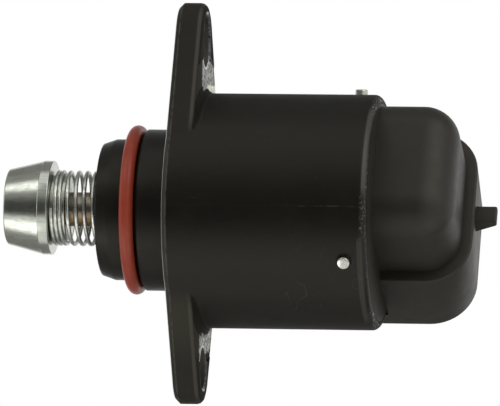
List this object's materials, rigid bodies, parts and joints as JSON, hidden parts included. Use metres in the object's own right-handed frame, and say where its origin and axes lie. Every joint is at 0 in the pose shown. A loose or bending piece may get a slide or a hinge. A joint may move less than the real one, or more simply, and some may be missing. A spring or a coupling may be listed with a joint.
{
  "type": "idle air control valve",
  "caption": "Stepper-driven idle air control valve: flanged round housing, spring-loaded pintle and seal ring at the front, angled electrical connector cap at the rear.",
  "frame": {"origin": "centre of the flange's machined front face, on the valve axis", "axes": "+X along the valve axis from the pintle to the connector end, +Z towards the ear with the slotted hole, -Y towards the side that the picture shows"},
  "size_m": [0.0624, 0.0353, 0.0514],
  "materials": {
    "coated_alloy": "black coated die casting, machined front face left bare",
    "ring_rubber": "brown-red moulded rubber",
    "turned_alloy": "turned, fine lathe marks",
    "spring_steel": "drawn wire",
    "screw_steel": "oiled, straw-brown tone",
    "sintered_bronze": "sintered, oil filled",
    "bearing_steel": "ground and polished",
    "pressed_brass": "pressed",
    "clip_steel": "blackened spring steel",
    "pole_steel": "pressed and zinc plated",
    "bobbin_nylon": "natural nylon",
    "copper_wire": "enamelled copper",
    "rotor_plastic": "glass-filled",
    "ferrite": "ground ferrite",
    "cap_plastic": "black glass-filled nylon",
    "black_rubber": "nitrile",
    "pin_steel": "bright ground",
    "tin_plate": "tin plated"
  },
  "bodies": {
    "valve_body": {"housing": "coated_alloy", "seal_ring": "ring_rubber", "pintle_spring": "spring_steel", "guide_bush": "sintered_bronze", "bearing_outer_race": "bearing_steel", "bearing_clip": "clip_steel", "front_cup": "pole_steel", "front_bobbin": "bobbin_nylon", "front_winding": "copper_wire", "front_pole_plate": "pole_steel", "rear_pole_plate": "pole_steel", "rear_bobbin": "bobbin_nylon", "rear_winding": "copper_wire", "rear_cup": "pole_steel", "thrust_washer": "pole_steel", "rear_bush": "sintered_bronze", "connector_cap": "cap_plastic", "cap_seal": "black_rubber", "retaining_pins": "pin_steel", "terminal_1": "tin_plate", "terminal_2": "tin_plate", "terminal_3": "tin_plate", "terminal_4": "tin_plate"},
    "rotor": {"rotor_nut": "rotor_plastic", "rotor_magnet": "ferrite", "bearing_inner_race": "bearing_steel"},
    "valve_pintle": {"pintle": "turned_alloy", "lead_screw": "screw_steel"},
    "ball_set": {"bearing_cage": "pressed_brass", "bearing_balls": "bearing_steel"}
  },
  "joints": [
    {"name": "rotor_spin", "type": "hinge", "parent": "valve_body", "child": "rotor", "pos_m": [0.01, 0, 0], "axis": [-1, 0, 0], "range_deg": [0, 1710]},
    {"name": "pintle_slide", "type": "slide", "parent": "valve_body", "child": "valve_pintle", "axis": [1, 0, 0], "range_m": [0, 0.00475], "deforming": ["pintle_spring"]},
    {"name": "ball_orbit", "type": "hinge", "parent": "valve_body", "child": "ball_set", "pos_m": [0.0033, 0, 0], "axis": [-1, 0, 0], "range_deg": [0, 684]}
  ],
  "couplings": [
    {"joint": "rotor_spin", "follows": "pintle_slide", "rad_per_m": 6283.2},
    {"joint": "ball_orbit", "follows": "pintle_slide", "rad_per_m": 2513.3}
  ]
}
